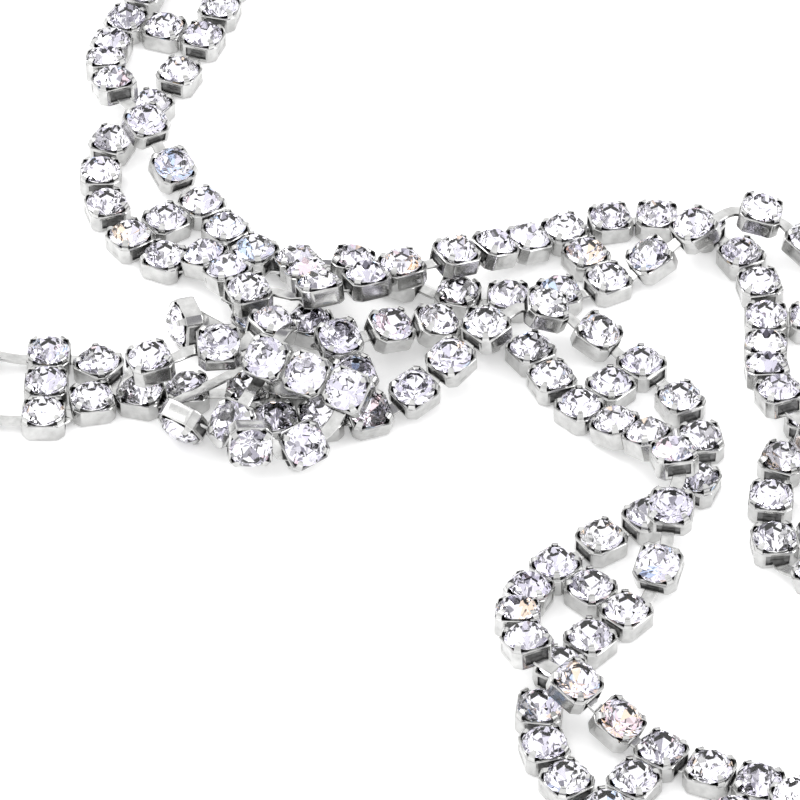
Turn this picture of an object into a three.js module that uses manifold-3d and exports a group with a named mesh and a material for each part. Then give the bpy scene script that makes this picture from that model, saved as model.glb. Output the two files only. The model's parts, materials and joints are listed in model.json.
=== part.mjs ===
// A riviera necklace: two strands of square-cup stone chain that cross again and again.
// Bars of three soldered cups join the strands in the widest place of each eye.
// Millimetres, Z up. The necklace lies on z = 0, tied in one loose knot.
import * as THREE from 'three';
import { ConvexGeometry } from 'three/addons/geometries/ConvexGeometry.js';
import { mergeVertices } from 'three/addons/utils/BufferGeometryUtils.js';
import Module from 'manifold-3d';

// Driving dimensions of one cup and its stone
const CUP_WIDTH = 4.5;
const CORNER_CUT = 0.8; // stands for the cup's rounded corner
const CUP_WALL = 2.0; // floor of the cup to the edge that holds the stone
const CROWN = 1.1; // stone above that edge
const TABLE = { along: 2.5, across: 2.3 }; // flat top of the stone, a little longer along its strand
const GAP = 0.3; // air between pieces

// Joining metal
const BAR_PITCH = 4.72; // cup to cup along a soldered bar
const SOLDER = { width: 3.0, height: 1.2, lift: 0.2 };
const LINK = { width: 1.35, thick: 0.35, lift: 0.7 };

// Hidden stretch round the back of the neck
const LOBE_BARS = 7;
const CLASP_AFTER = 4; // bars of the hidden arc before the clasp
const LOBE_PULL = { start: 190, end: 186 }; // how far the curve runs straight out at each end
const CLASP = { length: 13, width: 6, height: 2.6, tongue: 3, gap: 23 };

// Soldered bars in order along the chain. x, y and z place the floor of the middle cup;
// way is the heading of the chain there, climb its rise and roll its turn about the heading.
const BARS = [
  { x: -36.8, y: 0.0, z: 0, way: 0 },
  { x: -9.2, y: -3.0, z: 5.2, way: -120, climb: -36, roll: -4 },
  { x: -4.9, y: -0.3, z: 2.0, way: 20, roll: 16 },
  { x: 21.9, y: -0.2, z: 0, way: -45 },
  { x: 18.9, y: -30.4, z: 0, way: -134 },
  { x: 22.2, y: -56.4, z: 0, way: -36 },
  { x: 60.0, y: -55.0, z: 0, way: 62 },
  { x: 42.2, y: -23.0, z: 0, way: 96 },
  { x: 43.4, y: 10.3, z: 0, way: 88 },
  { x: 20.0, y: 20.8, z: 0, way: 208 },
  { x: -9.6, y: 14.2, z: 2.7, way: 197, roll: 22 },
  { x: -25.3, y: 26.6, z: 0, way: 126 },
  { x: -26.8, y: 60.6, z: 0, way: 70 },
];

// Where the two strands cross after each bar. side is the strand that passes over, by where
// it leaves the bar; over and under are headings; cups counts those before the crossing.
const CROSSINGS = [
  null,
  null,
  { x: 11.6, y: 7.6, side: 'right', over: 38, under: -35, cups: { over: 3, under: 3 } },
  { x: 27.8, y: -17.8, side: 'right', over: -100, under: -140, cups: { over: 3, under: 3 } },
  { x: 14.2, y: -44.0, side: 'right', over: -45, under: -112, cups: { over: 3, under: 2 } },
  { x: 40.9, y: -60.5, side: 'right', over: 22, under: -40, cups: { over: 3, under: 3 } },
  { x: 52.2, y: -34.6, side: 'right', over: 145, under: 92, cups: { over: 3, under: 3 } },
  { x: 40.6, y: -8.3, side: 'right', over: 125, under: 62, cups: { over: 2, under: 2 } },
  { x: 34.9, y: 23.6, side: 'right', over: 208, under: 128, cups: { over: 3, under: 2 } },
  { x: 3.0, y: 15.6, side: 'right', over: 202, under: 155, cups: { over: 3, under: 3 } },
  null,
  { x: -30.1, y: 43.2, side: 'right', over: 123, under: 52, cups: { over: 2, under: 3 } },
];
const RISE = 3.8; // height of the upper strand where it crosses the lower one
const BAR_SHARE = 1.06; // pitches from a bar to the next cup
const CROSSING_SHARE = 0.62; // pitches from a crossing to the next cup
const LEAST_PITCH = 4.85; // cup to cup where a strand is slack
const SLACK = { first: 0.36, step: 0.4 }; // how far a strand runs straight before it bends
const PLAIN_SWING = 36; // turn of each strand from the heading at a hidden crossing

// Cups in the knot, a row each: left and right tell which end of the bar they start from.
const KNOT = [
  {
    left: [
      { x: -31.5, y: 3.2, z: 0, way: -35 },
      { x: -26.9, y: -1.5, z: 0, way: -15 },
      { x: -22.1, y: -0.8, z: 0, way: 5 },
      { x: -15.8, y: -0.8, z: 0, way: -5 },
      { x: -10.6, y: -0.2, z: 0, way: -5 },
    ],
    right: [
      { x: -31.9, y: -2.4, z: 0, way: 12 },
      { x: -25.7, y: -1.6, z: 4.9, way: 20, climb: 3 },
      { x: -18.8, y: 1.5, z: 4.8, way: 5, roll: 20 },
      { x: -13.6, y: 4.6, z: 4.2, way: 35, climb: -15 },
    ],
    leftTo: 'left',
  },
  {
    left: [
      { x: -10.2, y: -9.6, z: 1.8, way: -150, climb: -10, roll: -45 },
      { x: -15.4, y: -10.3, z: 3.6, way: 186, climb: 4, roll: -78 },
      { x: -12.8, y: -5.5, z: 0, way: 10 },
      { x: -8.2, y: -5.1, z: 0, way: 10 },
    ],
    right: [
      { x: -16.7, y: -6.9, z: 2.4, way: -125, climb: -45, roll: -8 },
      { x: -21.6, y: -5.9, z: 3.3, way: 145, roll: -120 },
      { x: -16.2, y: 4.6, z: 3.5, way: 100, roll: -180 },
      { x: -21.3, y: 9.2, z: 2.4, way: 110, roll: -86 },
      { x: -15.2, y: 10.2, z: 0, way: 35 },
      { x: -9.6, y: 9.4, z: 0.3, way: -25 },
    ],
    leftTo: 'right',
  },
  null,
  null,
  null,
  null,
  null,
  null,
  null,
  null,
  {
    left: [
      { x: -15.9, y: 9.8, z: 4.4, way: 200 },
      { x: -18.0, y: 14.3, z: 3.0, way: 125, climb: -15 },
      { x: -20.5, y: 18.8, z: 1.4, way: 145, climb: -15 },
      { x: -25.3, y: 20.3, z: 0, way: 155 },
    ],
    right: [
      { x: -15.6, y: 21.4, z: 0, way: 145 },
      { x: -18.8, y: 25.1, z: 0, way: 130 },
    ],
    leftTo: 'left',
  },
];

const UP = new THREE.Vector3(0, 0, 1);

// The frame of a cup: origin on its floor, x along the strand, z the way the stone faces
function frame({ x, y, z = 0, way, climb = 0, roll = 0 }) {
  const turn = new THREE.Quaternion()
    .setFromAxisAngle(UP, THREE.MathUtils.degToRad(way))
    .multiply(axisTurn(0, 1, 0, -climb))
    .multiply(axisTurn(1, 0, 0, roll));
  return new THREE.Matrix4().compose(new THREE.Vector3(x, y, z), turn, new THREE.Vector3(1, 1, 1));
}

function axisTurn(x, y, z, degrees) {
  const axis = new THREE.Vector3(x, y, z);
  return new THREE.Quaternion().setFromAxisAngle(axis, THREE.MathUtils.degToRad(degrees));
}

function shifted(matrix, x, y, z) {
  return matrix.clone().multiply(new THREE.Matrix4().makeTranslation(x, y, z));
}

const placeOf = (matrix) => new THREE.Vector3().setFromMatrixPosition(matrix);
const alongOf = (matrix) => new THREE.Vector3().setFromMatrixColumn(matrix, 0);

// A smooth curve between two frames, let out until it is as long as the cups on it need
function strandCurve(start, end, leastLength) {
  const from = placeOf(start);
  const to = placeOf(end);
  let reach = from.distanceTo(to) * SLACK.first;
  let curve;
  do {
    curve = new THREE.CubicBezierCurve3(
      from,
      from.clone().addScaledVector(alongOf(start), reach),
      to.clone().addScaledVector(alongOf(end), -reach),
      to,
    );
    reach += SLACK.step;
  } while (curve.getLength() < leastLength);
  return curve;
}

// Cups of one strand between two frames. The shares are the pitches left free at each end.
function cupsAlong(start, end, count, startShare, endShare) {
  const pitches = startShare + count - 1 + endShare;
  const curve = strandCurve(start, end, pitches * LEAST_PITCH);
  const startUp = new THREE.Vector3().setFromMatrixColumn(start, 2);
  const endUp = new THREE.Vector3().setFromMatrixColumn(end, 2);
  const cups = [];
  for (let i = 0; i < count; i += 1) {
    const share = (startShare + i) / pitches;
    const along = curve.getTangentAt(share);
    const up = startUp.clone().lerp(endUp, share);
    const across = up.clone().cross(along).normalize();
    const place = curve.getPointAt(share);
    const cornerDip = CUP_WIDTH / 2 * (Math.abs(along.z) + Math.abs(across.z));
    place.z = Math.max(place.z, cornerDip);
    const turn = new THREE.Matrix4().makeBasis(along, across, along.clone().cross(across));
    cups.push(turn.setPosition(place));
  }
  return cups;
}

// Both strands between two bars, when they simply cross once
function crossedRuns(first, second, crossing) {
  const runs = {};
  for (const side of ['left', 'right']) {
    const level = side === crossing.side ? 'over' : 'under';
    const height = level === 'over' ? crossing.rise ?? RISE : 0;
    const middle = frame({ x: crossing.x, y: crossing.y, z: height, way: crossing[level] });
    const before = crossing.cups[level];
    const after = 5 - before;
    const other = side === 'left' ? 'right' : 'left';
    runs[side] = [
      ...cupsAlong(first[side], middle, before, BAR_SHARE, CROSSING_SHARE),
      ...cupsAlong(middle, second[other], after, CROSSING_SHARE, BAR_SHARE),
    ];
  }
  return { ...runs, leftTo: 'right' };
}

// A bar's three cups: left, middle and right as the chain runs
function barCups(row) {
  const middle = frame(row);
  return {
    left: shifted(middle, 0, BAR_PITCH, 0),
    middle,
    right: shifted(middle, 0, -BAR_PITCH, 0),
  };
}

// Bars and crossings of the plain hidden arc, evenly spaced but for the clasp's gap in its middle
function hiddenArc(first, last) {
  const from = new THREE.Vector3(first.x, first.y, 0);
  const to = new THREE.Vector3(last.x, last.y, 0);
  const curve = new THREE.CubicBezierCurve3(
    from,
    from.clone().addScaledVector(alongOf(frame(first)), LOBE_PULL.start),
    to.clone().addScaledVector(alongOf(frame(last)), -LOBE_PULL.end),
    to,
  );
  const length = curve.getLength();
  const spacing = (length - CLASP.gap) / LOBE_BARS;
  const rowAt = (distance) => {
    const place = curve.getPointAt(distance / length);
    const along = curve.getTangentAt(distance / length);
    const way = THREE.MathUtils.radToDeg(Math.atan2(along.y, along.x));
    return { x: place.x, y: place.y, z: 0, way };
  };
  const bars = [];
  const crossings = [];
  for (let i = 0; i <= LOBE_BARS; i += 1) {
    const past = i > CLASP_AFTER ? CLASP.gap - spacing : 0;
    if (i > 0) {
      bars.push(rowAt(i * spacing + past));
    }
    if (i !== CLASP_AFTER) {
      crossings.push(plainCrossing(rowAt((i + 0.5) * spacing + past), i % 2 === 0));
    }
  }
  return { bars, crossings };
}

// A crossing with no row of its own; the strands take turns to pass over
function plainCrossing({ x, y, way }, leftOver) {
  const swing = leftOver ? -PLAIN_SWING : PLAIN_SWING;
  const cups = { over: 3, under: 3 };
  return { x, y, side: leftOver ? 'left' : 'right', over: way + swing, under: way - swing, cups };
}

// The whole chain in order: bars with their three cups, and the two runs after each
function layOut() {
  const hidden = hiddenArc(BARS[BARS.length - 1], BARS[0]);
  const { bars: arc, crossings: between } = hidden;
  const rows = [...arc.slice(CLASP_AFTER), ...BARS, ...arc.slice(0, CLASP_AFTER)];
  const crossings = [...between.slice(CLASP_AFTER), ...CROSSINGS, ...between.slice(0, CLASP_AFTER)];
  const bars = rows.map(barCups);
  const stretches = [];
  for (let i = 0; i + 1 < bars.length; i += 1) {
    const knot = KNOT[i - (LOBE_BARS - CLASP_AFTER)];
    if (knot) {
      stretches.push({ left: knot.left.map(frame), right: knot.right.map(frame), leftTo: knot.leftTo });
    } else {
      stretches.push(crossedRuns(bars[i], bars[i + 1], crossings[i]));
    }
  }
  return { bars, stretches };
}

// Solids
const wasm = await Module();
wasm.setup();

function solidOf(geometry, matrix = new THREE.Matrix4()) {
  const moved = geometry.clone().applyMatrix4(matrix);
  moved.deleteAttribute('normal');
  moved.deleteAttribute('uv');
  const merged = mergeVertices(moved, 1e-5);
  const mesh = new wasm.Mesh({
    numProp: 3,
    vertProperties: Float32Array.from(merged.attributes.position.array),
    triVerts: Uint32Array.from(merged.index.array),
  });
  mesh.merge();
  return new wasm.Manifold(mesh);
}

function geometryOf(solid) {
  const mesh = solid.getMesh();
  const geometry = new THREE.BufferGeometry();
  geometry.setAttribute('position', new THREE.BufferAttribute(mesh.vertProperties, 3));
  geometry.setIndex(new THREE.BufferAttribute(mesh.triVerts, 1));
  geometry.computeVertexNormals();
  return geometry;
}

function cupGeometry() {
  const corners = [];
  const half = CUP_WIDTH / 2;
  const flat = half - CORNER_CUT;
  for (const along of [-1, 1]) {
    for (const across of [-1, 1]) {
      for (const height of [0, CUP_WALL]) {
        corners.push(new THREE.Vector3(along * half, across * flat, height));
        corners.push(new THREE.Vector3(along * flat, across * half, height));
      }
      const top = CUP_WALL + CROWN;
      corners.push(new THREE.Vector3(along * TABLE.along / 2, across * TABLE.across / 2, top));
    }
  }
  return new ConvexGeometry(corners);
}

const CUP = cupGeometry();

// A flat strip from inside one cup towards the next, stopping short of it where they are two pieces
function linkSolid(from, to, whole) {
  const start = placeOf(shifted(from, 0, 0, LINK.lift));
  const end = placeOf(shifted(to, 0, 0, LINK.lift));
  const along = end.clone().sub(start).normalize();
  const up = new THREE.Vector3().setFromMatrixColumn(from, 2);
  up.add(new THREE.Vector3().setFromMatrixColumn(to, 2));
  const across = up.cross(along).normalize();
  const reach = start.distanceTo(end);
  const length = whole ? reach : reach - faceDistance(to, along) - GAP;
  const turn = new THREE.Matrix4().makeBasis(along, across, along.clone().cross(across));
  turn.setPosition(start.addScaledVector(along, length / 2));
  return solidOf(new THREE.BoxGeometry(length, LINK.width, LINK.thick), turn);
}

// How far a cup's wall stands from its axis, measured along a strip that comes in on a heading
function faceDistance(cup, heading) {
  const axes = [0, 1].map((i) => new THREE.Vector3().setFromMatrixColumn(cup, i));
  const slants = axes.map((axis) => Math.abs(axis.dot(heading)));
  return CUP_WIDTH / 2 / Math.max(...slants);
}

function runSolid(before, cups, after) {
  const parts = cups.map((cup) => solidOf(CUP, cup));
  for (let i = 0; i + 1 < cups.length; i += 1) {
    parts.push(linkSolid(cups[i], cups[i + 1], true));
  }
  parts.push(linkSolid(cups[0], before, false));
  parts.push(linkSolid(cups[cups.length - 1], after, false));
  return wasm.Manifold.union(parts);
}

function barSolid(cups) {
  const solder = new THREE.BoxGeometry(SOLDER.width, 2 * BAR_PITCH, SOLDER.height);
  const seat = shifted(cups.middle, 0, 0, SOLDER.lift + SOLDER.height / 2);
  const parts = [cups.left, cups.middle, cups.right].map((cup) => solidOf(CUP, cup));
  parts.push(solidOf(solder, seat));
  return wasm.Manifold.union(parts);
}

// A plain box clasp lying between the two end bars, with a tongue towards each
function claspSolid(last, first) {
  const from = placeOf(last.middle);
  const to = placeOf(first.middle);
  const along = to.clone().sub(from).normalize();
  const turn = new THREE.Matrix4().makeBasis(along, UP.clone().cross(along), UP);
  const middle = from.clone().add(to).multiplyScalar(0.5);
  const reach = from.distanceTo(to) - CUP_WIDTH - 2 * GAP;
  const body = turn.clone().setPosition(middle.x, middle.y, CLASP.height / 2);
  const tongue = turn.clone().setPosition(middle.x, middle.y, LINK.lift);
  return wasm.Manifold.union([
    solidOf(new THREE.BoxGeometry(CLASP.length, CLASP.width, CLASP.height), body),
    solidOf(new THREE.BoxGeometry(reach, CLASP.tongue, LINK.thick), tongue),
  ]);
}

function meshOf(name, solid, material) {
  const mesh = new THREE.Mesh(geometryOf(solid), material);
  mesh.name = name;
  return mesh;
}

const numbered = (stem, index) => `${stem}_${String(index + 1).padStart(2, '0')}`;

function build() {
  const metal = new THREE.MeshStandardMaterial({ color: 0xd4d5d9, roughness: 0.18, metalness: 1 });
  metal.name = 'rhodium_plate';
  const group = new THREE.Group();
  group.name = 'riviera_necklace';
  const { bars, stretches } = layOut();
  bars.forEach((cups, i) => group.add(meshOf(numbered('bar', i), barSolid(cups), metal)));
  const strands = { left: 'strand_a', right: 'strand_b' };
  stretches.forEach((stretch, i) => {
    for (const side of ['left', 'right']) {
      const flip = side === 'left' ? 'right' : 'left';
      const other = stretch.leftTo === 'left' ? side : flip;
      const solid = runSolid(bars[i][side], stretch[side], bars[i + 1][other]);
      group.add(meshOf(numbered(strands[side], i), solid, metal));
    }
    if (stretch.leftTo === 'right') {
      [strands.left, strands.right] = [strands.right, strands.left];
    }
  });
  group.add(meshOf('clasp', claspSolid(bars[bars.length - 1], bars[0]), metal));
  const box = new THREE.Box3().setFromObject(group);
  const middle = box.getCenter(new THREE.Vector3());
  for (const mesh of group.children) {
    mesh.position.set(-middle.x, -middle.y, -box.min.z);
  }
  return group;
}

export default build();
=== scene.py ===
"""A riviera necklace: two strands of square-cup crystal chain, crossing and joined by soldered bars."""

import itertools
import json
import math
import random

import bmesh
import bpy
from mathutils import Matrix, Vector

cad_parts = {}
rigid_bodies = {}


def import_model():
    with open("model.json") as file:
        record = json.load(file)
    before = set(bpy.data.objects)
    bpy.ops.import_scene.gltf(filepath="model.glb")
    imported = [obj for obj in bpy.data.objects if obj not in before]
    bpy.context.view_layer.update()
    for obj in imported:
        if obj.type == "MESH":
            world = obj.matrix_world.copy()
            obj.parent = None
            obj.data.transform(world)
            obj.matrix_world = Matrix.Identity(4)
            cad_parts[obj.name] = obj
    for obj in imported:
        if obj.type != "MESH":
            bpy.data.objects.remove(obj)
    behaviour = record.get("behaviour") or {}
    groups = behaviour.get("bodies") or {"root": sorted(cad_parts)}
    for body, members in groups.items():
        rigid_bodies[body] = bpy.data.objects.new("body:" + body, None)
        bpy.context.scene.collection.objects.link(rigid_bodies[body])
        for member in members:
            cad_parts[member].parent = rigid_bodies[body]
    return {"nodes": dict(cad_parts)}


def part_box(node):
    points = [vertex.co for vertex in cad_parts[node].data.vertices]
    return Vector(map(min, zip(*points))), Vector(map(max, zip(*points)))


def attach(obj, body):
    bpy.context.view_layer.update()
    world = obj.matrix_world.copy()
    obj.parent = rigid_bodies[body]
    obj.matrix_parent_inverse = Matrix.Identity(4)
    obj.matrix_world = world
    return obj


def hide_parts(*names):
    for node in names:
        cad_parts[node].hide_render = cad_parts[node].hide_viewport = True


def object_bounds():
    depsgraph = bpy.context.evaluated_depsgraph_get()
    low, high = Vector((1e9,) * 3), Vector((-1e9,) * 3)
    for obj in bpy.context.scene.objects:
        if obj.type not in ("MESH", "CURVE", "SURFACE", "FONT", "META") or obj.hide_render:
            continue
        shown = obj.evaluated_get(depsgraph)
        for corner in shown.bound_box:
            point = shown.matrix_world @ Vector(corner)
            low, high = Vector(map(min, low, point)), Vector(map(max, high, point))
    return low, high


bl_info = {
    "name": "Riviera necklace",
    "version": (1, 0, 0),
    "blender": (4, 5, 0),
    "location": "3D View > Sidebar > Necklace",
    "description": "Models a cup-chain riviera necklace on its fixed frame, with its table and lights",
    "category": "Object",
}

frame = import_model()
CAD_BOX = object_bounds()

MM = 0.001
BODY = "root"

# The frame's own sizes, by which its cups are found and placed
TABLE_ALONG = 2.5 * MM
TABLE_ACROSS = 2.3 * MM
TABLE_LEVEL = 3.1 * MM
CLASP_LENGTH = 13 * MM

# What counts as the same place in a mesh and in a cut, as the same or another way to look (the
# cosine between two), and as a sharp edge
MATCH = 0.01 * MM
CUT_MATCH = MATCH / 100
SAME_WAY = 0.99
OTHER_WAY = 0.5
SHARP = math.radians(40)

# A strip is shaped one unit long and stretched as it is laid. It fills a share of a window's
# depth, and the windows steer at most so much of its length: a longer one runs straighter.
LINK_UNIT = 1
LINK_ENTRY = 0.8
LONGEST_PULL = 5 * MM

# Which of its materials a face shows: a cup's after its plate, which paints shade into its hollows, and
# a stone's two
PAINTED_SHADE = 1
GLASS = 0
FOIL = 1

# Facets in a ring of a stone, and what its turns and tints are drawn from
MAIN_FACETS = 8
GIRDLE_FACETS = 16
STONE_SEED = 7

# Sizes of the patterns on the surfaces. Scuffs and grit are really a few hundredths of a
# millimetre wide, and are drawn coarser so that they show.
PLATE_PATCH = 1.1 * MM
PLATE_SCUFF = 0.16 * MM
RECESS_PATCH = 0.5 * MM
SATIN_GRIT = 0.12 * MM
CRYSTAL_DRIFT = 4 * MM
BOARD_CLOUD = 60 * MM

# How deep the scuffs and the grit are, and how much of that tilts the light
BUMP_DEPTH = 0.02 * MM
SCUFF_BUMP = 0.12
GRIT_BUMP = 0.15

# Most of a noise lies between these two values
NOISE_LOW = 0.3
NOISE_HIGH = 0.7

# The board's side and the nearest thing that the camera can see, in metres
BOARD_WIDTH = 8
NEAREST = 0.01

# The soft lights: where each hangs from the middle of the table, in metres, its width, and its
# share of the key light's strength
LAMPS = (
    {"name": "key_light", "from_middle": (-0.5, 0.35, 0.75), "width": 0.5, "share": 1.0},
    {"name": "fill_light", "from_middle": (0.7, -0.1, 0.5), "width": 0.35, "share": 0.5},
)


# Sizes, colours and lights that a user may change


def length(name, description, millimetres):
    """A length that is shown in the scene's units."""
    return bpy.props.FloatProperty(
        name=name,
        description=description,
        default=millimetres * MM,
        unit="LENGTH",
        precision=5,
    )


def number(name, description, default):
    """A plain number, such as a share or a strength."""
    return bpy.props.FloatProperty(name=name, description=description, default=default)


def angle(name, description, degrees):
    """An angle that is shown in degrees."""
    return bpy.props.FloatProperty(
        name=name,
        description=description,
        default=math.radians(degrees),
        subtype="ANGLE",
    )


def shade(name, description, code):
    """A colour as an sRGB hex code."""
    return bpy.props.StringProperty(name=name, description=description, default=code)


class CupSizes(bpy.types.PropertyGroup):
    """Sizes of a stamped cup, its link and the solder of a bar."""

    width: length("Width", "Outside width of a cup", 4.5)
    wall: length("Wall height", "Floor of a cup to its rim", 2.0)
    corner: length("Corner", "How much of each wall the corner band takes", 0.72)
    ease: length("Ease", "Rounding between a wall and a corner band", 0.08)
    foot: length("Foot", "Rounding under the walls", 0.26)
    lip: length("Lip", "Rounding of the rim's outer edge", 0.07)
    rim: length("Rim", "Thickness of the wall at its rim", 0.19)
    seat: length("Seat", "Depth of the slope that the stone sits over", 0.22)
    floor: length("Floor", "Thickness of the cup's floor", 0.25)
    window_edge: length("Window edge", "Metal left round the window that a link enters by", 0.24)
    window_depth: length("Window depth", "Depth of that window", 0.2)
    stamp_edge: length("Stamp edge", "Plain border round the mark stamped in a wall", 0.38)
    stamp_line: length("Stamp line", "Width of the stamped line", 0.09)
    stamp_depth: length("Stamp depth", "Depth of the stamped mark", 0.05)
    link_width: length("Link width", "Width of the flat strip between cups", 1.35)
    link_thickness: length("Link thickness", "Thickness of that strip", 0.35)
    link_level: length("Link level", "Height of the strip's middle above the cup's floor", 0.88)
    solder_width: length("Solder width", "Solder between two cups of a bar, along the strand", 2.7)
    solder_height: length("Solder height", "Height of that solder", 1.5)
    solder_depth: length("Solder depth", "Thickness of that solder, from cup to cup", 0.5)
    solder_ease: length("Solder ease", "Rounding where the solder flowed", 0.16)
    solder_foot: length("Solder foot", "Height of the solder above the cup's floor", 0.15)


class StoneSizes(bpy.types.PropertyGroup):
    """Sizes and cutting angles of a foiled round stone."""

    radius: length("Radius", "Centre to girdle", 2.2)
    girdle_low: length("Girdle foot", "Lower edge of the girdle above the cup's floor", 2.16)
    girdle_high: length("Girdle top", "Upper edge of the girdle above the cup's floor", 2.24)
    table_radius: length("Table radius", "Centre to a corner of the octagon on top", 1.3)
    star_tilt: angle("Star tilt", "Slope of the eight facets round the table", 24)
    girdle_tilt: angle("Girdle tilt", "Slope of the sixteen facets above the girdle", 50)
    back_tilt: angle("Back tilt", "Slope of the eight main facets underneath", 38)
    back_girdle_tilt: angle("Back girdle tilt", "Slope of the sixteen facets below the girdle", 41)


class ClaspSizes(bpy.types.PropertyGroup):
    """Sizes of the plain box clasp and the strip through it."""

    width: length("Width", "Across the strand", 6)
    height: length("Height", "Floor to lid", 2.6)
    corner: length("Corner", "Rounding of the upright edges", 1.6)
    edge: length("Edge", "Rounding of the lid's and the floor's edges", 0.3)
    border: length("Border", "Plain edge round the lid's sunk line", 0.45)
    panel: length("Line", "Width of the sunk line", 0.35)
    step: length("Step", "Width of each slope into that line", 0.1)
    step_depth: length("Step depth", "Depth of that line", 0.12)
    tongue_width: length("Tongue width", "Width of the strip that holds the last bars", 2.4)
    tongue_sunk: length("Tongue sunk", "How far each end goes on into a bar's window", 0.2)
    tongue_thickness: length("Tongue thickness", "Thickness of that strip", 0.35)
    tongue_level: length("Tongue level", "Height of the strip's middle", 0.7)
    tongue_ease: length("Tongue ease", "Rounding of the strip's edges", 0.08)


class Finishes(bpy.types.PropertyGroup):
    """Colours and gloss of the metal, the stones and the table."""

    plate_light: shade("Plate, light", "Rhodium plate where it is brightest", "#CCCCCB")
    plate_dark: shade("Plate, dark", "Rhodium plate where it is dullest", "#B4B4B3")
    plate_polished: number("Plate roughness, polished", "Blur of reflections at its least", 0.12)
    plate_worn: number("Plate roughness, dull", "Blur of reflections in the dull patches", 0.24)
    # The recess colours are painted shade inside a cup and its windows
    recess_shade_light: shade("Recess, light", "Metal inside a cup where it is brightest", "#8E8E8E")
    recess_shade_dark: shade("Recess, dark", "Metal inside a cup where it is dullest", "#6A6A6A")
    recess_blur: number("Recess roughness", "Blur of reflections inside a cup", 0.38)
    satin_light: shade("Satin, light", "The clasp's plate where it is brightest", "#C2C2C2")
    satin_dark: shade("Satin, dark", "The clasp's plate where it is dullest", "#B0B0B0")
    satin_blur: number("Satin roughness", "Blur of reflections in the clasp", 0.34)
    glass: shade("Glass", "Lead crystal", "#FFFFFF")
    glass_cool: shade("Glass, cool", "Faint lavender in the crystal", "#F4F1FC")
    glass_bend: number("Glass IOR", "Index of refraction of the crystal", 1.56)
    foil_blur: number("Foil roughness", "Blur of reflections in the foil", 0.04)
    floor: shade("Floor", "Matt white board under the necklace", "#F4F4F4")
    floor_light: shade("Floor, light", "The board where it is whitest", "#FBFBFB")
    floor_blur: number("Floor roughness", "Blur of reflections in the board", 0.8)
    lamp: shade("Lamp", "Colour of the light that comes up through the board", "#FFFFFF")
    glow: number("Floor glow", "Strength of that light", 0.26)


class StageSettings(bpy.types.PropertyGroup):
    """Camera and lights."""

    elevation: angle("Elevation", "Camera above the horizon", 42)
    distance: length("Distance", "Camera to the point it looks at", 480)
    lens: number("Focal length", "Lens in millimetres on a 36 mm sensor", 207.4)
    aim_x: length("Aim across", "From the middle of bar_07 to the point in view", -21.9)
    aim_y: length("Aim away", "From the middle of bar_07 to the point in view", -0.35)
    dome: number("Dome", "Strength of the white tent round the table", 1.36)
    cloth: shade("Tent cloth", "White panels of the tent", "#FFFFFF")
    room: shade("Room", "What shows between the panels", "#8C8B91")
    panels: number("Tent panels", "How finely the tent is divided", 2.2)
    room_end: number("Room end", "Share of the pattern up to which the room shows", 0.36)
    cloth_start: number("Cloth start", "Share of the pattern from which all is cloth", 0.42)
    key: number("Key light", "Strength of the large soft light above", 3.0)


# Colours and nodes


def colour(code):
    """Linear RGBA of an sRGB hex code."""
    values = [int(code[i : i + 2], 16) / 255 for i in (1, 3, 5)]
    return [v / 12.92 if v <= 0.04045 else ((v + 0.055) / 1.055) ** 2.4 for v in values] + [1.0]


def add_node(tree, kind, sockets=None, **settings):
    """Add a node with its own settings, then fill or link each named socket."""
    made = tree.nodes.new(kind)
    for name, value in settings.items():
        setattr(made, name, value)
    for name, value in (sockets or {}).items():
        if isinstance(value, bpy.types.NodeSocket):
            tree.links.new(value, made.inputs[name])
        else:
            made.inputs[name].default_value = value
    return made


def fresh_material(name):
    """A material with an empty node tree that ends in a Principled shader."""
    made = bpy.data.materials.new(name)
    made.use_nodes = True
    made.node_tree.nodes.clear()
    shader = add_node(made.node_tree, "ShaderNodeBsdfPrincipled")
    add_node(made.node_tree, "ShaderNodeOutputMaterial", {"Surface": shader.outputs["BSDF"]})
    return made, made.node_tree, shader


def grain(tree, size, detail=2.0):
    """Noise on the piece's own coordinates whose lumps are about one size across."""
    coordinates = add_node(tree, "ShaderNodeTexCoord")
    sockets = {"Vector": coordinates.outputs["Object"], "Scale": 1 / size, "Detail": detail}
    return add_node(tree, "ShaderNodeTexNoise", sockets)


def blend_of(tree, share, first, second):
    """A colour between two hex codes, by a share from 0 to 1."""
    made = add_node(tree, "ShaderNodeMix", data_type="RGBA")
    inputs = {socket.identifier: socket for socket in made.inputs}
    tree.links.new(share, inputs["Factor_Float"])
    inputs["A_Color"].default_value = colour(first)
    inputs["B_Color"].default_value = colour(second)
    return next(socket for socket in made.outputs if socket.identifier == "Result_Color")


def ranged(tree, value, low, high):
    """A noise value spread between two numbers."""
    sockets = {
        "Value": value,
        "From Min": NOISE_LOW,
        "From Max": NOISE_HIGH,
        "To Min": low,
        "To Max": high,
    }
    return add_node(tree, "ShaderNodeMapRange", sockets).outputs["Result"]


def rhodium_plate(finishes):
    """Rhodium plate over stamped brass, barrel polished: cool grey, bright, with soft dull patches."""
    material, tree, shader = fresh_material("rhodium_plate")
    patches = grain(tree, PLATE_PATCH)
    scuffs = grain(tree, PLATE_SCUFF, detail=3.0)
    tone = ranged(tree, patches.outputs["Fac"], 0.0, 1.0)
    base = blend_of(tree, tone, finishes.plate_dark, finishes.plate_light)
    tree.links.new(base, shader.inputs["Base Color"])
    blur = ranged(tree, patches.outputs["Fac"], finishes.plate_worn, finishes.plate_polished)
    tree.links.new(blur, shader.inputs["Roughness"])
    height = {"Height": scuffs.outputs["Fac"], "Strength": SCUFF_BUMP, "Distance": BUMP_DEPTH}
    bump = add_node(tree, "ShaderNodeBump", height)
    tree.links.new(bump.outputs["Normal"], shader.inputs["Normal"])
    shader.inputs["Metallic"].default_value = 1.0
    return material


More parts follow.
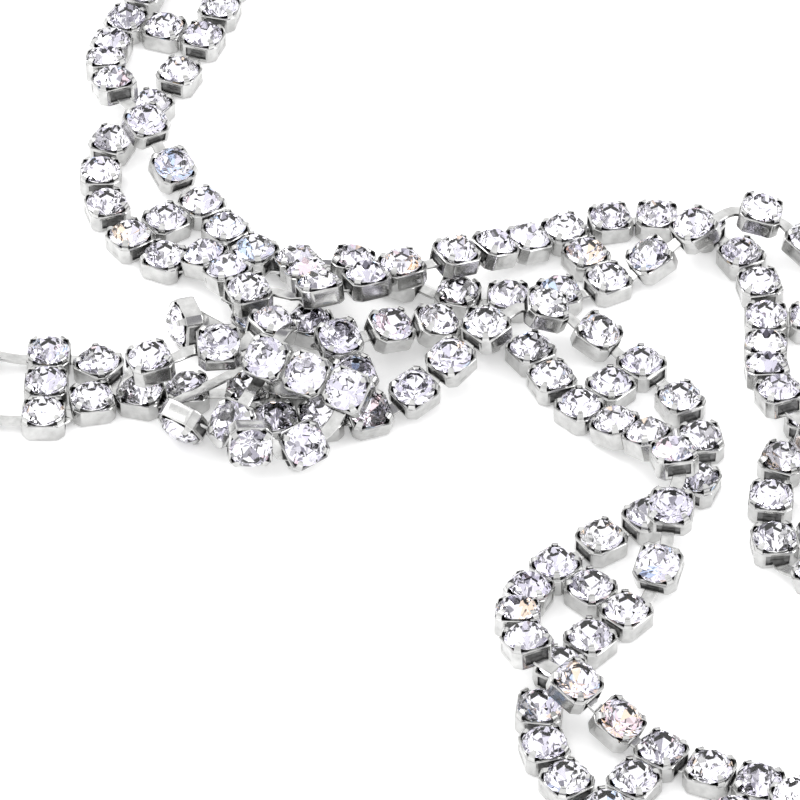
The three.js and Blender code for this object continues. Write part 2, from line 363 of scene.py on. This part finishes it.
def painted_shade_metal(finishes):
    """The same plate inside a cup and its windows: dull, and painted dark as shade."""
    material, tree, shader = fresh_material("recess_metal")
    patches = grain(tree, RECESS_PATCH)
    tone = ranged(tree, patches.outputs["Fac"], 0.0, 1.0)
    base = blend_of(tree, tone, finishes.recess_shade_dark, finishes.recess_shade_light)
    tree.links.new(base, shader.inputs["Base Color"])
    shader.inputs["Metallic"].default_value = 1.0
    shader.inputs["Roughness"].default_value = finishes.recess_blur
    return material


def satin_plate(finishes):
    """The clasp's rhodium plate, bead blasted: a darker, even, finely grained satin."""
    material, tree, shader = fresh_material("satin_plate")
    grit = grain(tree, SATIN_GRIT, detail=4.0)
    tone = ranged(tree, grit.outputs["Fac"], 0.0, 1.0)
    base = blend_of(tree, tone, finishes.satin_dark, finishes.satin_light)
    tree.links.new(base, shader.inputs["Base Color"])
    height = {"Height": grit.outputs["Fac"], "Strength": GRIT_BUMP, "Distance": BUMP_DEPTH}
    bump = add_node(tree, "ShaderNodeBump", height)
    tree.links.new(bump.outputs["Normal"], shader.inputs["Normal"])
    shader.inputs["Metallic"].default_value = 1.0
    shader.inputs["Roughness"].default_value = finishes.satin_blur
    return material


def crystal_glass(finishes):
    """Lead crystal, fire polished: clear, with a bare hint of lavender."""
    material, tree, shader = fresh_material("crystal_glass")
    drift = grain(tree, CRYSTAL_DRIFT)
    tone = ranged(tree, drift.outputs["Fac"], 0.0, 1.0)
    base = blend_of(tree, tone, finishes.glass, finishes.glass_cool)
    tree.links.new(base, shader.inputs["Base Color"])
    shader.inputs["Roughness"].default_value = 0.0
    shader.inputs["IOR"].default_value = finishes.glass_bend
    shader.inputs["Transmission Weight"].default_value = 1.0
    return material


# Share of the foil's facets from which each tint goes: most silver, some darkened as painted shade, few
# with painted fire
FOIL_PAINTED_TINTS = (
    (0.00, "#FBFBFC"),
    (0.56, "#F0EEF5"),
    (0.74, "#D8D6E0"),
    (0.83, "#A09EA8"),
    (0.86, "#F6F5FA"),
    (0.96, "#F3DDE1"),
    (0.972, "#C9DCF6"),
    (0.984, "#F6E0C8"),
)


def silver_foil(finishes):
    """Silver foil under lacquer: a mirror, tinted facet by facet with painted shade and painted fire,
    as dispersion would colour it.
    """
    material, tree, shader = fresh_material("silver_foil")
    facet = add_node(tree, "ShaderNodeAttribute", attribute_name="facet")
    ramp = add_node(tree, "ShaderNodeValToRGB", {"Fac": facet.outputs["Fac"]})
    ramp.color_ramp.interpolation = "CONSTANT"
    for i, (share, code) in enumerate(FOIL_PAINTED_TINTS):
        stops = ramp.color_ramp.elements
        stop = stops[i] if i < 2 else stops.new(share)
        stop.position = share
        stop.color = colour(code)
    tree.links.new(ramp.outputs["Color"], shader.inputs["Base Color"])
    shader.inputs["Metallic"].default_value = 1.0
    shader.inputs["Roughness"].default_value = finishes.foil_blur
    return material


def white_board(finishes):
    """Matt white acrylic sheet lit from behind: plain, with the faintest unevenness."""
    material, tree, shader = fresh_material("white_board")
    clouds = grain(tree, BOARD_CLOUD)
    base = blend_of(tree, clouds.outputs["Fac"], finishes.floor, finishes.floor_light)
    tree.links.new(base, shader.inputs["Base Color"])
    shader.inputs["Roughness"].default_value = finishes.floor_blur
    shader.inputs["Emission Color"].default_value = colour(finishes.lamp)
    shader.inputs["Emission Strength"].default_value = finishes.glow
    return material


# Modelling helpers


def start(primitive, **settings):
    """Add a primitive with nothing else selected, and open it in edit mode."""
    bpy.ops.object.select_all(action="DESELECT")
    primitive(**settings)
    bpy.ops.object.mode_set(mode="EDIT")
    return bpy.context.object


def start_box(size, middle):
    """A box of a size, open in edit mode, with its place in its mesh."""
    box = start(bpy.ops.mesh.primitive_cube_add, size=1)
    bpy.ops.transform.resize(value=size, center_override=(0, 0, 0))
    bpy.ops.transform.translate(value=middle)
    return box


def pick(piece, kind, test):
    """Select just the edges or faces of a piece in edit mode that pass a test."""
    bpy.ops.mesh.select_mode(type={"edges": "EDGE", "faces": "FACE"}[kind])
    bpy.ops.mesh.select_all(action="DESELECT")
    mesh = bmesh.from_edit_mesh(piece.data)
    for part in getattr(mesh, kind):
        if test(part):
            part.select_set(True)
    bmesh.update_edit_mesh(piece.data)


def middle_of(part):
    """The middle of an edge or a face."""
    return sum((v.co for v in part.verts), Vector()) / len(part.verts)


def upright(edge):
    """Whether an edge stands straight up."""
    one, other = (v.co for v in edge.verts)
    return (one - other).xy.length < MATCH


def level_ring(level):
    """A test for the edges that bound the face at a level."""

    def test(edge):
        flat = all(abs(v.co.z - level) < MATCH for v in edge.verts)
        return flat and any(abs(face.normal.z) < OTHER_WAY for face in edge.link_faces)

    return test


def facing(normal, reach=0.0):
    """A test for the faces that look one way, from at least a reach out from the middle."""

    def test(face):
        same = face.normal.dot(Vector(normal)) > SAME_WAY
        return same and middle_of(face).dot(Vector(normal)) > reach - MATCH

    return test


def extrude(offset):
    """Extrude the selected faces and move what comes out."""
    bpy.ops.mesh.extrude_region_move(TRANSFORM_OT_translate={"value": offset})


def inside_below(level):
    """A test for the faces of a hollow, which look inwards or up, below its rim."""

    def test(face):
        middle = middle_of(face)
        inwards = face.normal.dot(middle.xy.to_3d()) < -MATCH or face.normal.z > SAME_WAY
        return inwards and middle.z < level - MATCH

    return test


def paint_shade(piece, test):
    """Give the recess metal, painted dark as shade, to the faces that pass a test."""
    mesh = bmesh.from_edit_mesh(piece.data)
    for face in mesh.faces:
        if test(face):
            face.material_index = PAINTED_SHADE
    bmesh.update_edit_mesh(piece.data)


def close_edit(piece, name):
    """Leave edit mode, with faces outwards and smooth across all but sharp edges."""
    bpy.ops.mesh.select_all(action="SELECT")
    bpy.ops.mesh.normals_make_consistent(inside=False)
    bpy.ops.object.mode_set(mode="OBJECT")
    bpy.ops.object.shade_smooth_by_angle(angle=SHARP)
    piece.name = name
    return piece


def copy_of(pattern, seat):
    """A copy of a pattern with its own mesh, whose place is in the mesh."""
    made = bpy.data.objects.new(pattern.name, pattern.data.copy())
    made.data.transform(seat)
    bpy.context.scene.collection.objects.link(made)
    return made


def join(parts, name):
    """Join parts into one piece that sits at the origin."""
    bpy.ops.object.select_all(action="DESELECT")
    for part in parts:
        part.select_set(True)
    bpy.context.view_layer.objects.active = parts[0]
    bpy.ops.object.join()
    joined = bpy.context.object
    joined.name = name
    joined.data.name = name
    return joined


def even_normals(piece):
    """Let large flat faces shade flat, and keep the turn of the light to the small rounded ones."""
    bpy.ops.object.select_all(action="DESELECT")
    piece.select_set(True)
    bpy.context.view_layer.objects.active = piece
    weights = piece.modifiers.new("even_normals", "WEIGHTED_NORMAL")
    weights.keep_sharp = True
    bpy.ops.object.modifier_apply(modifier=weights.name)


def hand_over(piece, node):
    """Put a finished piece in its CAD node's place."""
    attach(piece, BODY)
    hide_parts(node)


def remove(*patterns):
    """Take away patterns that have been copied."""
    for pattern in patterns:
        bpy.data.objects.remove(pattern)


# Reading the frame


def cups_of(node):
    """A matrix for each cup of a CAD node, read from the flat top that stands for its stone.

    That top is a little longer along the strand, so it tells the heading as well as the facing.
    """
    mesh = frame["nodes"][node].data
    found = []
    for polygon in mesh.polygons:
        corners = [mesh.vertices[i].co for i in polygon.vertices]
        for i in range(3):
            sides = (corners[i - 1] - corners[i], corners[i - 2] - corners[i])
            across, along = sorted(sides, key=lambda side: side.length)
            if table_corner(across, along):
                up = polygon.normal
                foot = corners[i] + (along + across) / 2 - up * TABLE_LEVEL
                if all((foot - place(cup)).length > TABLE_ACROSS for cup in found):
                    found.append(placed(foot, along, up))
    return found


def table_corner(across, along):
    """Whether two edges that meet are the end and the side of a stone's flat top."""
    square = abs(along.dot(across)) < MATCH * TABLE_ACROSS
    end = abs(across.length - TABLE_ACROSS) < MATCH
    side = abs(along.length - TABLE_ALONG) < MATCH
    return square and end and side


def placed(foot, along, up):
    """A cup's matrix: origin on its floor, x along the strand and z the way its stone faces."""
    x = along.normalized()
    z = up.normalized()
    turn = Matrix((x, z.cross(x), z)).transposed().to_4x4()
    return Matrix.Translation(foot) @ turn


def place(cup):
    """Where a cup's floor is."""
    return cup.translation


def bar_of(node):
    """The cups of a bar: its middle one, and the two at its ends."""
    cups = cups_of(node)
    centre = sum((place(cup) for cup in cups), Vector()) / len(cups)
    cups.sort(key=lambda cup: (place(cup) - centre).length)
    return cups[0], cups[1:]


def run_of(node):
    """The cups of one strand between two bars in order, with the bar cup at each end."""
    index = int(node[-2:])
    starts = bar_of(f"bar_{index:02d}")[1]
    ends = bar_of(f"bar_{index + 1:02d}")[1]
    best = None
    for order in itertools.permutations(cups_of(node)):
        inner = sum((place(b) - place(a)).length for a, b in itertools.pairwise(order))
        first = min(starts, key=lambda cup: (place(cup) - place(order[0])).length)
        last = min(ends, key=lambda cup: (place(cup) - place(order[-1])).length)
        outer = (place(first) - place(order[0])).length + (place(last) - place(order[-1])).length
        if best is None or inner + outer < best[0]:
            best = (inner + outer, [first, *order, last])
    return best[1]


def nodes_named(stem):
    """Names of the CAD nodes that start with a stem, in order."""
    return sorted(name for name in frame["nodes"] if name.startswith(stem))


# Cups, links and bars

# Where the claws stand round a cup, in degrees
CLAW_TURNS = (45, 135, 225, 315)

# Each row bends a claw further over the stone: how far up and how far in, in millimetres, and
# the share of its width that is left
CLAW_BENDS = (
    {"rise": 0.16, "lean": 0.00, "left": 0.90},
    {"rise": 0.30, "lean": 0.06, "left": 0.90},
    {"rise": 0.18, "lean": 0.20, "left": 0.95},
    {"rise": 0.12, "lean": 0.24, "left": 0.90},
    {"rise": 0.03, "lean": 0.16, "left": 0.60},
)


def shape_cup(sizes):
    """A cup stamped from sheet: banded corners that rise into claws, and windows for the links."""
    half = sizes.width / 2
    cup = start_box((sizes.width, sizes.width, sizes.wall), (0, 0, sizes.wall / 2))
    pick(cup, "edges", upright)
    bpy.ops.mesh.bevel(offset=sizes.corner, segments=1, affect="EDGES")
    pick(cup, "edges", upright)
    bpy.ops.mesh.bevel(offset=sizes.ease, segments=1, affect="EDGES")
    pick(cup, "edges", level_ring(0))
    bpy.ops.mesh.bevel(offset=sizes.foot, segments=2, affect="EDGES")
    pick(cup, "edges", level_ring(sizes.wall))
    bpy.ops.mesh.bevel(offset=sizes.lip, segments=1, affect="EDGES")
    pick(cup, "faces", facing((0, 0, 1)))
    bpy.ops.mesh.inset(thickness=sizes.rim)
    bpy.ops.mesh.inset(thickness=sizes.rim / 2, depth=-sizes.seat)
    extrude((0, 0, -(sizes.wall - sizes.seat - sizes.floor)))
    for turn in CLAW_TURNS:
        bend_claw(cup, sizes, math.radians(turn))
    # Painted shade over the inside of the cup below its rim
    paint_shade(cup, inside_below(sizes.wall))
    for side in (-1, 1):
        cut_window(cup, sizes, side, half)
        stamp_wall(cup, sizes, side, half)
    return close_edit(cup, "cup_pattern")


def bend_claw(cup, sizes, turn):
    """Draw the rim of one corner up and over the stone."""
    outward = Vector((math.cos(turn), math.sin(turn), 0))
    band = sizes.width / math.sqrt(2) - sizes.corner / math.sqrt(2) - sizes.rim

    def on_corner(face):
        middle = middle_of(face)
        near = (middle - outward * middle.dot(outward)).xy.length < MATCH
        return near and face.normal.z > SAME_WAY and middle.dot(outward) > band - sizes.rim

    pick(cup, "faces", on_corner)
    for bend in CLAW_BENDS:
        move = Vector((0, 0, bend["rise"] * MM)) - outward * bend["lean"] * MM
        extrude(move)
        mesh = bmesh.from_edit_mesh(cup.data)
        centre = middle_of(next(face for face in mesh.faces if face.select))
        narrow = (bend["left"], bend["left"], 1)
        bpy.ops.transform.resize(value=narrow, center_override=centre)


def cut_window(cup, sizes, side, half):
    """Sink the window of a wall that meets a link, with painted shade inside it."""
    pick(cup, "faces", facing((side, 0, 0), half))
    bpy.ops.mesh.inset(thickness=sizes.window_edge)
    extrude((-side * sizes.window_depth, 0, 0))
    bpy.ops.mesh.select_more()
    # Painted shade inside the window
    paint_shade(cup, lambda face: face.select and abs(middle_of(face).x) < half - MATCH)


def stamp_wall(cup, sizes, side, half):
    """Press the faint oblong mark into a plain wall."""
    pick(cup, "faces", facing((0, side, 0), half))
    bpy.ops.mesh.inset(thickness=sizes.stamp_edge)
    bpy.ops.mesh.inset(thickness=sizes.stamp_line, depth=-sizes.stamp_depth)


def shape_link(sizes):
    """A flat strip one unit long, in short steps so that it can follow a bend."""
    size = (LINK_UNIT, sizes.link_width, sizes.link_thickness)
    link = start_box(size, (LINK_UNIT / 2, 0, 0))
    pick(link, "edges", lengthwise)
    bpy.ops.mesh.bevel(offset=sizes.link_thickness / 4, segments=1, affect="EDGES")
    pick(link, "edges", lengthwise)
    bpy.ops.mesh.subdivide(number_cuts=3)
    return close_edit(link, "link_pattern")


def lengthwise(edge):
    """Whether an edge runs along the strip."""
    one, other = (v.co for v in edge.verts)
    return abs((one - other).x) > LINK_UNIT / 2


def shape_solder(sizes):
    """The solder that joins two cups of a bar side by side, rounded where it flowed."""
    size = (sizes.solder_width, sizes.solder_depth, sizes.solder_height)
    solder = start_box(size, (0, 0, 0))
    bpy.ops.mesh.select_all(action="SELECT")
    bpy.ops.mesh.bevel(offset=sizes.solder_ease, segments=2, affect="EDGES")
    return close_edit(solder, "solder_pattern")


def lay_link(pattern, sizes, cup, way, other, other_way):
    """Bend a copy of the link from the window of one cup into the window of the next.

    way is 1 or -1: the end of the cup's own x axis that the link leaves by, and so for the other.
    """
    sunk = sizes.width / 2 - sizes.window_depth * LINK_ENTRY
    turns = [cup.to_3x3(), other.to_3x3()]
    leave = turns[0] @ Vector((way, 0, 0))
    enter = turns[1] @ Vector((-other_way, 0, 0))
    ups = [turn @ Vector((0, 0, 1)) for turn in turns]
    tip = place(cup) + leave * sunk + ups[0] * sizes.link_level
    far = place(other) - enter * sunk + ups[1] * sizes.link_level
    pull = min((far - tip).length, LONGEST_PULL)
    link = copy_of(pattern, Matrix.Identity(4))
    # A cubic curve that leaves the one window and enters the next square on, and its heading
    for vertex in link.data.vertices:
        t = vertex.co.x
        s = LINK_UNIT - t
        middle = s * s * (1 + 2 * t) * tip + t * t * (1 + 2 * s) * far
        middle += t * s * s * pull * leave - t * t * s * pull * enter
        heading = 6 * s * t * (far - tip) + s * (1 - 3 * t) * pull * leave
        heading += t * (1 - 3 * s) * pull * enter
        up = ups[0].lerp(ups[1], t)
        across = up.cross(heading).normalized()
        lift = heading.cross(across).normalized()
        vertex.co = middle + across * vertex.co.y + lift * vertex.co.z
    return link


def way_to(cup, target):
    """Which end of a cup's own x axis looks towards a place."""
    heading = cup.to_3x3() @ Vector((1, 0, 0))
    return 1 if heading.dot(target - place(cup)) > 0 else -1


def links_of_run(pattern, sizes, run):
    """The links of a run, each leaving a cup by the window opposite the one before."""
    ways = [way_to(run[0], place(run[1]))]
    for before, cup, after in zip(run, run[1:], run[2:]):
        ways.append(way_to(cup, place(cup) + place(after) - place(before)))
    ways.append(-way_to(run[-1], place(run[-2])))
    links = []
    for (cup, way), (other, onward) in itertools.pairwise(zip(run, ways)):
        links.append(lay_link(pattern, sizes, cup, way, other, -onward))
    return links


class NECKLACE_OT_settings(bpy.types.Operator):
    """Model the metal: every cup with its claws, the links between cups and the solder of the bars"""

    bl_idname = "necklace.settings"
    bl_label = "Cups, links and bars"

    def execute(self, context):
        sizes = context.scene.necklace_cups
        finishes = context.scene.necklace_finishes
        # The second material paints shade into the hollows of the cups
        plate, shade_paint = rhodium_plate(finishes), painted_shade_metal(finishes)
        cup, link, solder = shape_cup(sizes), shape_link(sizes), shape_solder(sizes)
        for pattern in (cup, link, solder):
            pattern.data.materials.append(plate)
            pattern.data.materials.append(shade_paint)
        quarter = Matrix.Rotation(math.radians(90), 4, "Z")
        for node in nodes_named("bar_"):
            middle, ends = bar_of(node)
            parts = [copy_of(cup, middle @ quarter), *(copy_of(cup, end) for end in ends)]
            for end in ends:
                side = (middle.inverted() @ place(end)).y
                level = sizes.solder_height / 2 + sizes.solder_foot
                seat = Matrix.Translation((0, side / 2, level))
                parts.append(copy_of(solder, middle @ seat))
            self.finish(parts, node)
        for node in nodes_named("strand_"):
            run = run_of(node)
            parts = [copy_of(cup, one) for one in run[1:-1]]
            self.finish(parts + links_of_run(link, sizes, run), node)
        remove(cup, link, solder)
        return {"FINISHED"}

    def finish(self, parts, node):
        """Join one node's parts and put them in its place."""
        piece = join(parts, f"{node}_metal")
        even_normals(piece)
        hand_over(piece, node)


# Stones


def cut_stone(sizes):
    """Cut a round foiled stone as a lapidary does, one flat facet at a time."""
    height = 2 * sizes.radius
    stone = start(
        bpy.ops.mesh.primitive_cylinder_add,
        vertices=GIRDLE_FACETS,
        radius=sizes.radius,
        depth=height,
        location=(0, 0, 0),
    )
    bpy.ops.transform.translate(value=(0, 0, TABLE_LEVEL - height / 2))
    girdle_half = math.pi / GIRDLE_FACETS
    main_half = math.pi / MAIN_FACETS
    flat = sizes.radius * math.cos(girdle_half)
    star_reach = sizes.table_radius * math.cos(main_half)
    crown = TABLE_LEVEL - sizes.girdle_high
    main_tilt = math.atan2(crown, sizes.radius - sizes.table_radius)
    cut_ring(MAIN_FACETS, 0, main_tilt, sizes.radius, sizes.girdle_high)
    cut_ring(GIRDLE_FACETS, girdle_half, sizes.girdle_tilt, flat, sizes.girdle_high)
    cut_ring(MAIN_FACETS, main_half, sizes.star_tilt, star_reach, TABLE_LEVEL)
    cut_ring(MAIN_FACETS, 0, math.pi - sizes.back_tilt, sizes.radius, sizes.girdle_low)
    cut_ring(GIRDLE_FACETS, girdle_half, math.pi - sizes.back_girdle_tilt, flat, sizes.girdle_low)
    bpy.ops.mesh.select_all(action="SELECT")
    bpy.ops.mesh.remove_doubles(threshold=MATCH)
    mesh = bmesh.from_edit_mesh(stone.data)
    for face in mesh.faces:
        face.material_index = GLASS if middle_of(face).z > sizes.girdle_high else FOIL
    bmesh.update_edit_mesh(stone.data)
    bpy.ops.mesh.normals_make_consistent(inside=False)
    bpy.ops.object.mode_set(mode="OBJECT")
    stone.name = "stone_pattern"
    return stone


def cut_ring(count, first, tilt, reach, level):
    """Cut a ring of facets that slope by a tilt, through a point at a reach and level."""
    for i in range(count):
        turn = first + math.tau * i / count
        outward = Vector((math.cos(turn), math.sin(turn), 0))
        normal = outward * math.sin(tilt) + Vector((0, 0, math.cos(tilt)))
        point = outward * reach + Vector((0, 0, level))
        bpy.ops.mesh.select_all(action="SELECT")
        bpy.ops.mesh.bisect(
            plane_co=point,
            plane_no=normal,
            use_fill=True,
            clear_outer=True,
            threshold=CUT_MATCH,
        )


class NECKLACE_OT_stones(bpy.types.Operator):
    """Cut the foiled crystal stones and set one in every cup"""

    bl_idname = "necklace.stones"
    bl_label = "Stones"

    def execute(self, context):
        finishes = context.scene.necklace_finishes
        stone = cut_stone(context.scene.necklace_stones)
        stone.data.materials.append(crystal_glass(finishes))
        stone.data.materials.append(silver_foil(finishes))
        chance = random.Random(STONE_SEED)
        for node in nodes_named("bar_") + nodes_named("strand_"):
            stones = []
            for cup in cups_of(node):
                turn = Matrix.Rotation(chance.uniform(0, math.tau), 4, "Z")
                stones.append(copy_of(stone, cup @ turn))
                # A random value for each facet, which picks the foil's painted tint
                facets = stones[-1].data.attributes.new("facet", "FLOAT", "FACE")
                facets.data.foreach_set("value", [chance.random() for _ in facets.data])
            piece = join(stones, f"{node}_stones")
            hand_over(piece, node)
        remove(stone)
        return {"FINISHED"}


# Clasp


class NECKLACE_OT_clasp(bpy.types.Operator):
    """Model the plain box clasp that closes the hidden end of the chain"""

    bl_idname = "necklace.clasp"
    bl_label = "Clasp"

    def execute(self, context):
        mesh = frame["nodes"]["clasp"].data
        edges = [[mesh.vertices[i].co for i in edge.vertices] for edge in mesh.edges]
        long_edges = [b - a for a, b in edges if abs((b - a).length - CLASP_LENGTH) < MATCH]
        if not long_edges:
            raise RuntimeError("the clasp's long edge isn't in the frame")
        low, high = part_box("clasp")
        foot = ((low + high) / 2).xy.to_3d()
        seat = placed(foot, long_edges[0], Vector((0, 0, 1)))
        spread = [vertex.co.dot(long_edges[0].normalized()) for vertex in mesh.vertices]
        sizes = context.scene.necklace_clasp
        reach = max(spread) - min(spread) + 2 * sizes.tongue_sunk
        body = self.shape_body(sizes)
        strip = self.shape_tongue(sizes, reach)
        satin = satin_plate(context.scene.necklace_finishes)
        for part in (body, strip):
            part.data.transform(seat)
            part.data.materials.append(satin)
        piece = join([body, strip], "clasp_box")
        even_normals(piece)
        hand_over(piece, "clasp")
        return {"FINISHED"}

    def shape_body(self, sizes):
        """A box with rounded corners and edges, and a sunk line round its lid."""
        body = start_box((CLASP_LENGTH, sizes.width, sizes.height), (0, 0, sizes.height / 2))
        pick(body, "edges", upright)
        bpy.ops.mesh.bevel(offset=sizes.corner, segments=4, affect="EDGES")
        for level in (0, sizes.height):
            pick(body, "edges", level_ring(level))
            bpy.ops.mesh.bevel(offset=sizes.edge, segments=2, affect="EDGES")
        pick(body, "faces", facing((0, 0, 1)))
        bpy.ops.mesh.inset(thickness=sizes.border)
        bpy.ops.mesh.inset(thickness=sizes.step, depth=-sizes.step_depth)
        bpy.ops.mesh.inset(thickness=sizes.panel)
        bpy.ops.mesh.inset(thickness=sizes.step, depth=sizes.step_depth)
        return close_edit(body, "clasp_body")

    def shape_tongue(self, sizes, reach):
        """The strip through the clasp that holds the last bar at each end."""
        size = (reach, sizes.tongue_width, sizes.tongue_thickness)
        tongue = start_box(size, (0, 0, sizes.tongue_level))
        bpy.ops.mesh.select_all(action="SELECT")
        bpy.ops.mesh.bevel(offset=sizes.tongue_ease, segments=2, affect="EDGES")
        return close_edit(tongue, "clasp_tongue")


# Table, lights and camera


class NECKLACE_OT_stage(bpy.types.Operator):
    """Set up the white board, the light tent and the camera"""

    bl_idname = "necklace.stage"
    bl_label = "Table, lights and camera"

    def execute(self, context):
        stage = context.scene.necklace_stage
        low, high = CAD_BOX
        middle = ((low + high) / 2).xy.to_3d()
        self.lay_floor(context.scene.necklace_finishes, middle, low.z)
        self.hang_tent(context.scene, stage)
        for lamp in LAMPS:
            self.hang_light(lamp, stage.key, middle)
        self.set_camera(context.scene, stage)
        context.scene.view_settings.view_transform = "Standard"
        return {"FINISHED"}

    def lay_floor(self, finishes, middle, level):
        """A wide board just under the lowest cups."""
        bpy.ops.object.select_all(action="DESELECT")
        bpy.ops.mesh.primitive_plane_add(size=BOARD_WIDTH, location=(middle.x, middle.y, level))
        board = bpy.context.object
        board.name = "table_board"
        board.data.materials.append(white_board(finishes))

    def hang_tent(self, scene, stage):
        """A white tent, with the darker room showing between its panels."""
        world = bpy.data.worlds.new("light_tent")
        world.use_nodes = True
        tree = world.node_tree
        tree.nodes.clear()
        coordinates = add_node(tree, "ShaderNodeTexCoord")
        sockets = {"Vector": coordinates.outputs["Generated"], "Scale": stage.panels, "Detail": 0.0}
        panels = add_node(tree, "ShaderNodeTexNoise", sockets)
        ramp = add_node(tree, "ShaderNodeValToRGB", {"Fac": panels.outputs["Fac"]})
        first, last = ramp.color_ramp.elements
        first.position = stage.room_end
        first.color = colour(stage.room)
        last.position = stage.cloth_start
        last.color = colour(stage.cloth)
        sockets = {"Color": ramp.outputs["Color"], "Strength": stage.dome}
        light = add_node(tree, "ShaderNodeBackground", sockets)
        add_node(tree, "ShaderNodeOutputWorld", {"Surface": light.outputs["Background"]})
        scene.world = world

    def hang_light(self, lamp, strength, target):
        """A soft square light that looks at a point."""
        data = bpy.data.lights.new(lamp["name"], "AREA")
        data.energy = strength * lamp["share"]
        data.size = lamp["width"]
        light = bpy.data.objects.new(lamp["name"], data)
        away = Vector(lamp["from_middle"])
        light.location = target + away
        light.rotation_euler = (-away).to_track_quat("-Z", "Y").to_euler()
        bpy.context.scene.collection.objects.link(light)

    def set_camera(self, scene, stage):
        """A long lens that looks down at the knot from the front."""
        target = place(bar_of("bar_07")[0]) + Vector((stage.aim_x, stage.aim_y, 0))
        away = Vector((0, -math.cos(stage.elevation), math.sin(stage.elevation)))
        data = bpy.data.cameras.new("camera")
        data.lens = stage.lens
        data.clip_start = NEAREST
        camera = bpy.data.objects.new("camera", data)
        camera.location = target + away * stage.distance
        camera.rotation_euler = (-away).to_track_quat("-Z", "Y").to_euler()
        scene.collection.objects.link(camera)
        scene.camera = camera


class NECKLACE_PT_panel(bpy.types.Panel):
    """Buttons for each group of pieces, and the sizes they are made to"""

    bl_idname = "NECKLACE_PT_panel"
    bl_label = "Riviera necklace"
    bl_space_type = "VIEW_3D"
    bl_region_type = "UI"
    bl_category = "Necklace"

    def draw(self, context):
        for operator in OPERATORS:
            self.layout.operator(operator.bl_idname)
        for name, group in GROUPS.items():
            box = self.layout.box()
            for key in group.__annotations__:
                box.prop(getattr(context.scene, name), key)


OPERATORS = (NECKLACE_OT_settings, NECKLACE_OT_stones, NECKLACE_OT_clasp, NECKLACE_OT_stage)
GROUPS = {
    "necklace_cups": CupSizes,
    "necklace_stones": StoneSizes,
    "necklace_clasp": ClaspSizes,
    "necklace_finishes": Finishes,
    "necklace_stage": StageSettings,
}


def register():
    """Add the settings, the operators and the panel."""
    for made in (*GROUPS.values(), *OPERATORS, NECKLACE_PT_panel):
        bpy.utils.register_class(made)
    for name, group in GROUPS.items():
        setattr(bpy.types.Scene, name, bpy.props.PointerProperty(type=group))


def unregister():
    """Take the panel, the operators and the settings away again."""
    for name in GROUPS:
        delattr(bpy.types.Scene, name)
    for made in reversed((*GROUPS.values(), *OPERATORS, NECKLACE_PT_panel)):
        bpy.utils.unregister_class(made)


def main():
    """Make every piece in order."""
    register()
    bpy.ops.necklace.settings()
    bpy.ops.necklace.stones()
    bpy.ops.necklace.clasp()
    bpy.ops.necklace.stage()


if __name__ == "__main__":
    main()
